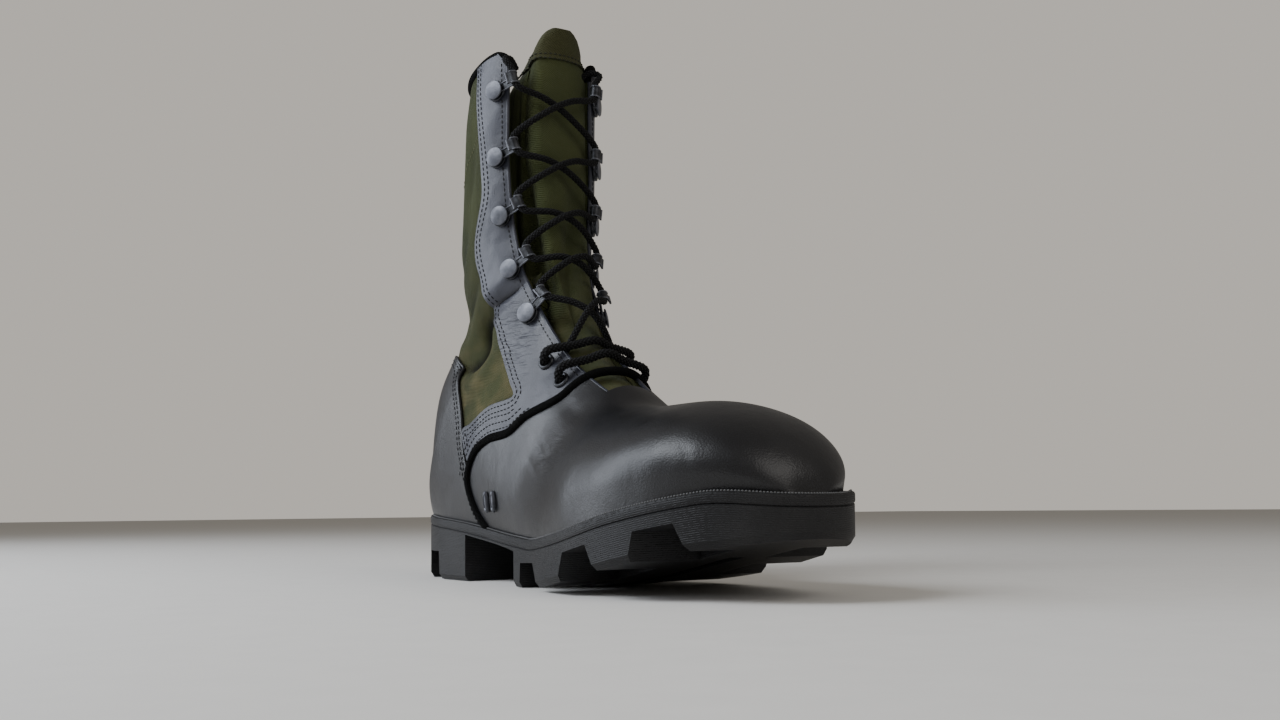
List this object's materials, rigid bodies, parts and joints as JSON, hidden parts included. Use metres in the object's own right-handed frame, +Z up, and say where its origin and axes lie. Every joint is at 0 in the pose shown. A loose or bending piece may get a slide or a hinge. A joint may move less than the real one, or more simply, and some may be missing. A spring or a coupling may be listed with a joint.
{
  "type": "jungle boot",
  "caption": "Left jungle boot: lugged rubber sole, black leather foot, olive cloth shaft, open collar and laced throat.",
  "frame": {"origin": "centre of the object's box on the floor plane under the sole", "axes": "+Z up, toe along -Y, inner (medial) side of this left boot along -X"},
  "size_m": [0.108, 0.3, 0.2825],
  "materials": {
    "rubber_sole": "matte moulded rubber",
    "insole_felt": "pressed felt",
    "olive_nylon": "plain-woven nylon",
    "olive_twill": "twill weave",
    "black_leather": "smooth grain leather, satin",
    "painted_steel": "dark enamelled steel, worn bright on its edges",
    "lace_cord": "braided polyester cord"
  },
  "bodies": {
    "root": {"outsole": "rubber_sole", "insole": "insole_felt", "upper": "olive_nylon", "tongue": "olive_twill", "vamp": "black_leather", "counter": "black_leather", "eyestay_medial": "black_leather", "eyestay_lateral": "black_leather", "hook_medial_1": "painted_steel", "hook_medial_2": "painted_steel", "hook_medial_3": "painted_steel", "hook_medial_4": "painted_steel", "hook_medial_5": "painted_steel", "eyelet_medial_1": "painted_steel", "eyelet_medial_2": "painted_steel", "hook_lateral_1": "painted_steel", "hook_lateral_2": "painted_steel", "hook_lateral_3": "painted_steel", "hook_lateral_4": "painted_steel", "hook_lateral_5": "painted_steel", "eyelet_lateral_1": "painted_steel", "eyelet_lateral_2": "painted_steel", "vent_1": "painted_steel", "vent_2": "painted_steel", "lace_crossing_1": "lace_cord", "lace_crossing_2": "lace_cord", "lace_crossing_3": "lace_cord", "lace_crossing_4": "lace_cord", "lace_crossing_5": "lace_cord", "lace_bar": "lace_cord"}
  },
  "joints": []
}
